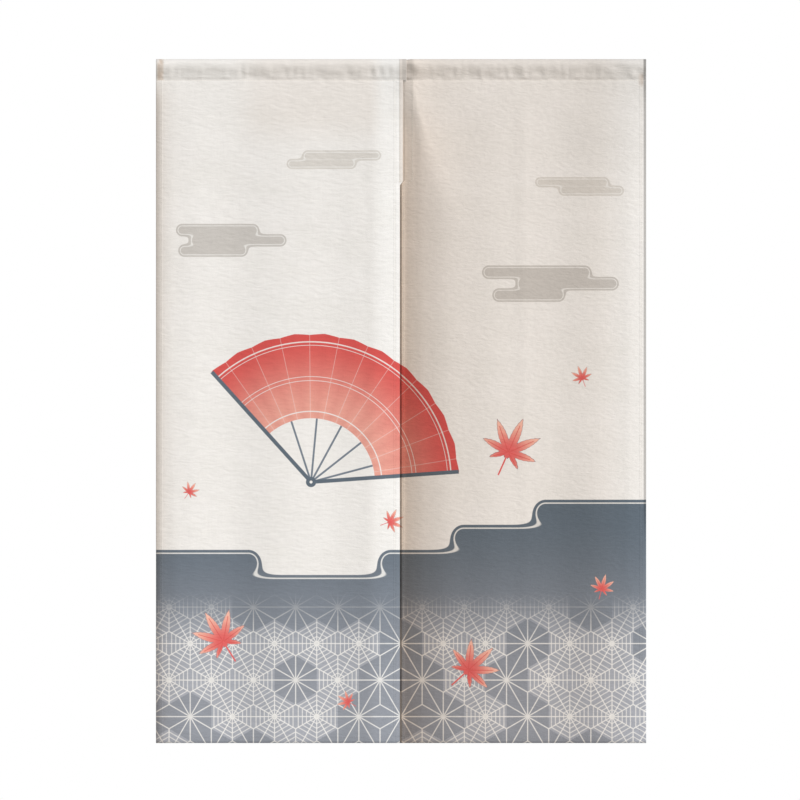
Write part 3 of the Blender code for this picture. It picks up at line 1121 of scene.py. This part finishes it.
def hemp_leaf(tree, x, y):
    """The distance to the lines of the hemp-leaf pattern, and a random tone for each star."""
    pitch, rise = HEMP_PITCH, HEMP_PITCH * math.sqrt(3)
    nearest = []
    for shift in (0.0, 0.5):
        column = calc("ROUND", x / pitch - shift) + shift
        row = calc("ROUND", y / rise - shift) + shift
        local_x, local_y = x - column * pitch, y - row * rise
        nearest.append((length_of(local_x, local_y), local_x, local_y, column, row))
    one, two = nearest
    second = calc("LESS_THAN", two[0], one[0])
    away, local_x, local_y, column, row = (a + (b - a) * second for a, b in zip(one, two))
    turn = calc("ARCTAN2", local_x, local_y) + 2 * math.pi
    ray = calc("SINE", calc("PINGPONG", turn, math.pi / 12)) * away
    random = tree.nodes.new("ShaderNodeTexWhiteNoise")
    random.noise_dimensions = "2D"
    feed(tree, random.inputs["Vector"], vector(tree, column, row))
    six = calc("PINGPONG", turn + math.pi / 6, math.pi / 6)
    across_six = away * calc("COSINE", six)
    return ray, across_six, Number(tree, random.outputs["Value"])


def ground(tree, x, y, colour):
    """The slate ground, with a stepped edge of bars and the hemp-leaf pattern lower down."""
    edge = joined(GROUND_FILLET, GROUND_TOP - y, *(bar(x, y, *sizes) for sizes in GROUND_BARS))
    down = eased(y, *GROUND_SHADES_OVER)
    tone = blended(tree, down, DARK_SLATE, GREY_SLATE)
    ray, ring, random = hemp_leaf(tree, x, y)
    strength = eased(y, *HEMP_FADES_OVER)
    pale = calc("GREATER_THAN", random, HEMP_PALE_ABOVE) * strength
    tone = blended(tree, pale * HEMP_PALE, tone, LILAC)
    rings = calc("PINGPONG", ring, HEMP_RING_STEP / 2)
    ring_lines = HEMP_RING_STEP / 2 - rings - HEMP_RING_LINE
    tone = painted(tone, ring_lines, WHITE, pale * HEMP_RING_STRENGTH)
    tone = painted(tone, ray - HEMP_LINE / 2, WHITE, strength * HEMP_LINE_STRENGTH)
    edge_line = abs(edge + GROUND_LINE_IN) - GROUND_LINE / 2
    tone = painted(tone, edge_line, WHITE, GROUND_LINE_STRENGTH)
    return painted(colour, edge, tone)


def new_group(name, numbers):
    """A node group that takes a colour and some numbers, and gives a colour."""
    group = bpy.data.node_groups.new(name, "ShaderNodeTree")
    group.interface.new_socket("colour", in_out="INPUT", socket_type="NodeSocketColor")
    for number in numbers:
        group.interface.new_socket(number, in_out="INPUT", socket_type="NodeSocketFloat")
    group.interface.new_socket("colour", in_out="OUTPUT", socket_type="NodeSocketColor")
    given = group.nodes.new("NodeGroupInput").outputs
    made = group.nodes.new("NodeGroupOutput").inputs[0]
    return group, given[0], [Number(group, socket) for socket in given[1:-1]], made


def grouped(tree, group, colour, *numbers):
    """The colour that a node group gives."""
    node = tree.nodes.new("ShaderNodeGroup")
    node.node_tree = group
    for socket, value in zip(node.inputs, (colour, *numbers)):
        feed(tree, socket, value)
    return node.outputs[0]


def maple_leaf():
    """A group with one seven-lobed leaf, coral at its heart and peach at its tips."""
    names = ("x", "drop", "middle_x", "middle_drop", "size", "turn")
    tree, colour, numbers, made = new_group("maple_leaf", names)
    x, y, middle_x, middle_y, size, turned = numbers
    to_x, up = x - middle_x, middle_y - y
    away = length_of(to_x, up)
    turn = calc("ARCTAN2", to_x, up) - turned * (math.pi / 180) + 3 * math.pi
    turn = calc("FLOORED_MODULO", turn, 2 * math.pi) - math.pi
    lobe = turn / LOBE_SPACING
    from_lobe = abs(lobe - calc("ROUND", lobe))
    reach = 1.0 - lobe * lobe * LOBE_SHORTENS
    tooth = calc("PINGPONG", away / size, TOOTH_PITCH) * TOOTH_DEPTH
    pointed = calc("POWER", 1.0 - from_lobe * 2, LOBE_POINTED)
    outline = reach * (LOBE_NOTCH + (1 - LOBE_NOTCH) * pointed) - tooth
    edge = away - outline * (size / 2)
    pale_from, pale_to = (share * size for share in LEAF_PALES_OVER)
    tint = blended(tree, eased(away, pale_from, pale_to), CORAL, PEACH)
    vein = from_lobe * away * LOBE_SPACING - size * VEIN
    vein = most(vein, away - reach * size * VEIN_REACH, abs(lobe) - LAST_VEIN)
    tint = painted(tint, vein, RED, VEIN_STRENGTH)
    stem = most((math.pi - abs(turn)) * away - size * STEM, away - size * STEM_REACH)
    colour = painted(colour, edge - size * LEAF_RIM, LEAF_OUTLINE)
    colour = painted(colour, edge, tint)
    feed(tree, made, painted(colour, stem, CORAL))
    return tree


def whole_print():
    """A group with the whole print over the cloth's own colour."""
    tree, colour, (x, y), made = new_group("print", ("x", "drop"))
    leaf = maple_leaf()
    colour = mist(x, y, colour)
    colour = fan(tree, x, y, colour)
    colour = ground(tree, x, y, colour)
    for sizes in LEAVES:
        colour = grouped(tree, leaf, colour, x, y, *sizes)
    feed(tree, made, colour)
    return tree


def weave(x, y, thicker):
    """The height of a plain weave in millimetres, thicker along its slubs."""
    warp, weft = (calc("SINE", place * (2 * math.pi / THREAD_PITCH)) for place in (x, y))
    return warp * weft * WEAVE_HEIGHT + thicker


def shaded_by_side(tree, side, x, y, colour):
    """Paints light and shade into the colour: warm, dark painted shade by the slit, at the edges and
    hems, on the pocket and lap, and a painted highlight.
    """
    # Painted shade on the pocket's top roll, along the foot and on the bottom hem
    to_foot = abs(y - DROP)
    depth = eased(y, *ROLL_OVER, ROLL_SHADE[side], 0.0)
    depth += eased(to_foot, *FOOT_OVER, FOOT_SHADE, 0.0)
    depth += eased(to_foot, *HEM_OVER, HEM_SHADE, 0.0)
    if side == "right":
        # Painted warm shade by the slit and over the right panel, less towards its right edge
        near_slit = calc("EXPONENT", most(x, 0.0) * (-1 / WARM_REACH))
        near_slit *= eased(x, *WARM_STARTS_OVER) * eased(y, *WARMER_OVER)
        to_edge = eased(x, *WARM_ENDS_OVER, 1.0, WARM_AT_EDGE)
        warmth = (near_slit * WARM_AT_SLIT + WARM_EVERYWHERE) * to_edge
        # Painted shade in a band beside the slit, and a painted dark line of shadow under the lap and
        # in the slit
        band_end = eased(y, *BAND_WIDENS_OVER, *BAND_WIDTH)
        band_fade = eased(y, *BAND_SOFTENS_OVER, *BAND_FADE)
        band = eased((x - band_end) / band_fade, 1.0, 0.0)
        band *= eased(x, BAND_START, eased(y, *BAND_STARTS_LATER_OVER, *BAND_FULL))
        line = eased(y, *LAP_ENDS_OVER, *LAP_LINE)
        line_half = eased(y, *LAP_ENDS_OVER, *LAP_LINE_HALF)
        under_lap = inside(abs(x - line) - line_half) * LAP_LINE_DEPTH
        depth += most(band * BAND_DEPTH, under_lap)
        # A painted highlight beside the right mouth
        lit_x, lit_drop, half_width, half_height = LIT_PATCH
        from_patch = length_of((x - lit_x) / half_width, (y - lit_drop) / half_height)
        depth -= eased(from_patch, *LIT_ENDS_OVER, LIT_BY, 0.0)
        # Painted shade along the right edge, weaker low down
        edge_shade = eased(y, *RIGHT_EDGE_SHADE_TOP_OVER, *RIGHT_EDGE_SHADE)
        edge_shade *= eased(y, *RIGHT_EDGE_SHADE_ENDS_OVER, 1.0, RIGHT_EDGE_SHADE_LOW_DOWN)
        depth += edge_shade * eased(x, *RIGHT_EDGE_SHADE_OVER)
    else:
        # Painted warm shade and painted shade along the left edge, weaker at the top
        lower = eased(y, *SIDE_STARTS_OVER, SIDE_AT_TOP, 1.0)
        from_side = calc("EXPONENT", (x + HALF_WIDTH) * (-1 / WARM_SIDE_REACH))
        warmth = from_side * WARM_AT_SIDE * lower
        # Painted shade in the seam's stitch groove, and beside the slit edge below the seam
        seam = inside(abs(x - SEAM_LINE) - SEAM_LINE_HALF)
        depth += seam * eased(y, *LAP_ENDS_OVER, *SEAM_LINE_DEPTH)
        # Painted brown shade in the pocket's left mouth, made uneven by noise
        mouth = most(eased(x, *MOUTH_LIGHT_ENDS_OVER), eased(y, *MOUTH_WIDENS_OVER))
        mouth *= eased(x, *MOUTH_ENDS_OVER) * eased(y, *MOUTH_FOOT_OVER)
        mouth *= eased(x, *MOUTH_EDGE_OVER)
        mouth *= (noise(x, y, *MOUTH_SHADE_GRAIN) * MOUTH_SHADE_UNEVEN + (1.0 - MOUTH_SHADE_UNEVEN / 2))
        warmth += mouth * MOUTH_SHADE_WARMTH
        depth += mouth * MOUTH_SHADE_DEPTH + eased(x, *LEFT_EDGE_SHADE_OVER) * LEFT_EDGE_SHADE * lower
    # Painted shade from the table of tones
    for warmer, deeper, x_ranges, drop_ranges in TONES[side]:
        shares = [eased(x, *over) for over in x_ranges] + [eased(y, *over) for over in drop_ranges]
        share = math.prod(shares)
        warmth += share * warmer
        depth += share * deeper
    colour = blended(tree, warmth, colour, WARM_SHADE, "MULTIPLY")
    return blended(tree, depth, colour, "000000")


def flat_material(name):
    """A new material: itself, its tree and shader, and x and drop on the flat cloth."""
    material = bpy.data.materials.new(name)
    material.use_nodes = True
    tree = material.node_tree
    layout = tree.nodes.new("ShaderNodeUVMap")
    layout.uv_map = "flat"
    split = tree.nodes.new("ShaderNodeSeparateXYZ")
    tree.links.new(layout.outputs[0], split.inputs[0])
    x, y = (Number(tree, socket) * (1 / MM) for socket in split.outputs[:2])
    return material, tree, tree.nodes["Principled BSDF"], x, y


def cloth(name, side, own_colour, design, printing, with_painted_shade=True):
    """Off-white slub cloth. printing is how much of the design shows on this face; the last switch adds
    the painted shade of shaded_by_side.
    """
    material, tree, shader, x, y = flat_material(name)
    colour = blended(tree, noise(x, y, *PATCHES), *own_colour)
    if printing:
        colour = blended(tree, printing, colour, grouped(tree, design, colour, x, y))
    # The painted shade, on all but the rear faces
    if with_painted_shade:
        colour = shaded_by_side(tree, side, x, y, colour)

    sway = (noise(x, y, *SWAY) - 0.5) * SWAY_BY
    streaks = noise(x, y + sway, *STREAKS[side])
    slubs = noise(x, y, *SLUBS)
    warps = noise(x, y, *WARPS)
    tone = (streaks - 0.5) * STREAK_TONE + (slubs - 0.5) * SLUB_TONE
    tone = tone + (warps - 0.5) * WARP_TONE + 1.0
    colour = blended(tree, 1.0, colour, vector(tree, tone, tone, tone), "MULTIPLY")
    feed(tree, shader.inputs["Base Color"], colour)
    feed(tree, shader.inputs["Roughness"], ROUGHNESS - (slubs - 0.5) * ROUGHNESS_UNEVEN)
    shader.inputs["Specular IOR Level"].default_value = SPECULAR
    shader.inputs["Sheen Weight"].default_value = SHEEN
    shader.inputs["Sheen Roughness"].default_value = SHEEN_ROUGHNESS

    height = weave(x, y, (streaks - 0.5) * STREAK_HEIGHT + (slubs + warps - 1.0) * SLUB_HEIGHT)
    raised = tree.nodes.new("ShaderNodeBump")
    raised.inputs["Distance"].default_value = MM
    raised.inputs["Strength"].default_value = 1.0
    feed(tree, raised.inputs["Height"], height)
    tree.links.new(raised.outputs[0], shader.inputs["Normal"])
    return material


def thread_material(design):
    """Off-white sewing thread, twisted along its length and printed with the cloth."""
    material, tree, shader, x, y = flat_material("thread")
    twist = calc("SINE", (x + y) * (2 * math.pi / THREAD_TWIST))
    colour = blended(tree, twist * 0.2 + 0.5, *THREAD_COLOURS)
    colour = blended(tree, PRINT_ON_THREAD, colour, grouped(tree, design, colour, x, y))
    feed(tree, shader.inputs["Base Color"], colour)
    shader.inputs["Roughness"].default_value = THREAD_ROUGHNESS
    return material


def stage():
    """A pale floor under the curtain, a white room round it and soft lights."""
    finish = bpy.data.materials.new("floor")
    finish.use_nodes = True
    shader = finish.node_tree.nodes["Principled BSDF"]
    shader.inputs["Base Color"].default_value = hex_colour(FLOOR_COLOUR)
    shader.inputs["Roughness"].default_value = FLOOR_ROUGHNESS
    half = FLOOR_HALF
    mesh = bpy.data.meshes.new("floor")
    corners = [(-half, -half, 0), (half, -half, 0), (half, half, 0), (-half, half, 0)]
    mesh.from_pydata(corners, [], [(0, 1, 2, 3)])
    floor = bpy.data.objects.new("floor", mesh)
    floor.location.z = FLOOR_Z * MM
    mesh.materials.append(finish)
    bpy.context.scene.collection.objects.link(floor)

    world = bpy.data.worlds.new("room")
    bpy.context.scene.world = world
    world.use_nodes = True
    background = world.node_tree.nodes["Background"]
    seen = world.node_tree.nodes.new("ShaderNodeBackground")
    seen.inputs["Color"].default_value = (1.0, 1.0, 1.0, 1.0)
    background.inputs["Color"].default_value = ROOM_COLOUR
    background.inputs["Strength"].default_value = ROOM_STRENGTH
    path = world.node_tree.nodes.new("ShaderNodeLightPath")
    mix = world.node_tree.nodes.new("ShaderNodeMixShader")
    output = world.node_tree.nodes["World Output"]
    links = world.node_tree.links
    links.new(path.outputs["Is Camera Ray"], mix.inputs[0])
    links.new(background.outputs[0], mix.inputs[1])
    links.new(seen.outputs[0], mix.inputs[2])
    links.new(mix.outputs[0], output.inputs["Surface"])

    for kind, name, place, size, power, colour in LIGHTS:
        light = bpy.data.lights.new(name, kind)
        light.energy = power
        light.color = colour
        if kind == "SUN":
            light.angle = size
        else:
            light.shape = "DISK"
            light.size = size
        lamp = bpy.data.objects.new(name, light)
        lamp.location = place
        aim = Vector((0.0, 0.0, -DROP / 2 * MM)) - lamp.location
        lamp.rotation_euler = aim.to_track_quat("-Z", "Y").to_euler()
        bpy.context.scene.collection.objects.link(lamp)


def camera():
    """Straight on and level, with the picture's own framing."""
    lens = bpy.data.cameras.new("camera")
    lens.type = "ORTHO"
    lens.ortho_scale = PICTURE_PIXELS * MM_PER_PIXEL * MM
    eye = bpy.data.objects.new("camera", lens)
    eye.location = (PICTURE_MIDDLE[0] * MM, -CAMERA_AWAY * MM, PICTURE_MIDDLE[1] * MM)
    eye.rotation_euler = (math.pi / 2, 0.0, 0.0)
    bpy.context.scene.collection.objects.link(eye)
    bpy.context.scene.camera = eye
    bpy.context.scene.view_settings.view_transform = "Standard"


def main():
    camera()
    stage()
    design = whole_print()
    thread = thread_material(design)
    for side in ("left", "right"):
        front = cloth("cloth_front_" + side, side, FRONT_WHITES, design, PRINT_ON_FRONT)
        rear = cloth("cloth_rear_" + side, side, REAR_WHITES[side], design, PRINT_ON_REAR, False)
        folded = cloth("heading_cloth_" + side, side, FRONT_WHITES, design, 0.0)
        sheet = panel(side, front, rear)
        sleeve = pocket(side, folded)
        sewing = all_stitches(side, thread)
        for piece, slot in ((sheet, "panel_cloth"), (sleeve, "heading_cloth"), (sewing, "panel_cloth")):
            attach(piece, "root")
        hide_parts("panel_" + side)
        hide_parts("heading_" + side)


main()
